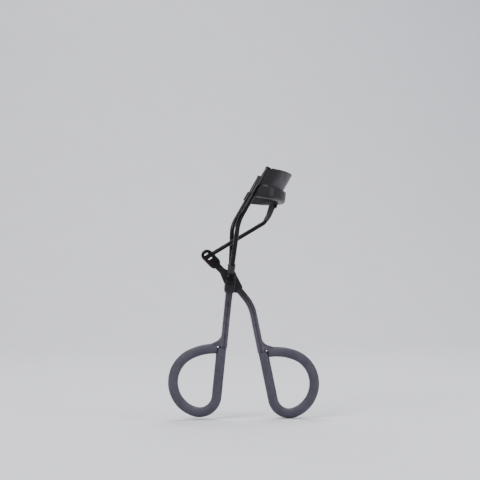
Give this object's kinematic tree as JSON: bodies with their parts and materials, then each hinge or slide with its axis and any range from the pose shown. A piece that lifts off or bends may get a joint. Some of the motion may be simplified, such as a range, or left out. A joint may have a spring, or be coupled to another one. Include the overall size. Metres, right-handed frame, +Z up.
{
  "type": "eyelash curler",
  "caption": "Scissor-handled eyelash curler: squeezing the finger rings slides a padded lower jaw up two guide rods against a bowed upper jaw plate.",
  "frame": {"origin": "on the surface that the finger rings stand on, midway between the outer sides of the two rings and on the object's plane of symmetry", "axes": "+Z up along the handles towards the jaws, +X from the lever side towards the front of the bowed jaws, +Y from the near guide rod to the far one"},
  "size_m": [0.0634, 0.0366, 0.1038],
  "materials": {
    "handle_metal": "black plating, satin, on pressed steel bar",
    "gloss_metal": "black plating, glossy, on steel wire and small fittings",
    "jaw_metal": "black plating, satin, on bent sheet steel",
    "grip_rubber": "matte soft rubber sleeve",
    "pad_rubber": "matte rubber strip"
  },
  "bodies": {
    "frame": {"handle_left": "handle_metal", "grip_left": "grip_rubber", "guide_rod_front": "gloss_metal", "guide_rod_rear": "gloss_metal", "rod_cap_front": "gloss_metal", "rod_cap_rear": "gloss_metal", "upper_jaw": "jaw_metal", "pivot_rivet": "gloss_metal"},
    "lever": {"handle_right": "handle_metal", "grip_right": "grip_rubber", "lever_yoke": "gloss_metal", "yoke_pin": "gloss_metal"},
    "link": {"link_rod": "gloss_metal", "link_fork": "gloss_metal"},
    "lower_jaw": {"lower_jaw": "jaw_metal", "lash_pad": "pad_rubber", "slider_front": "gloss_metal", "slider_rear": "gloss_metal", "jaw_lug": "gloss_metal", "lug_pin": "gloss_metal"}
  },
  "joints": [
    {"name": "handle_pivot", "type": "hinge", "parent": "frame", "child": "lever", "pos_m": [-0.00574, 0, 0.05801], "axis": [0, -1, 0], "range_deg": [0, 26]},
    {"name": "jaw_slide", "type": "slide", "parent": "frame", "child": "lower_jaw", "axis": [-0.4939, 0, -0.8695], "range_m": [0, 0.0062]},
    {"name": "link_pivot", "type": "hinge", "parent": "lever", "child": "link", "pos_m": [-0.01513, 0, 0.06757], "axis": [0, -1, 0], "range_deg": [-27, 0]}
  ],
  "couplings": [
    {"joint": "jaw_slide", "follows": "handle_pivot", "m_per_rad": 0.0136},
    {"joint": "link_pivot", "follows": "handle_pivot", "ratio": -1.021}
  ]
}
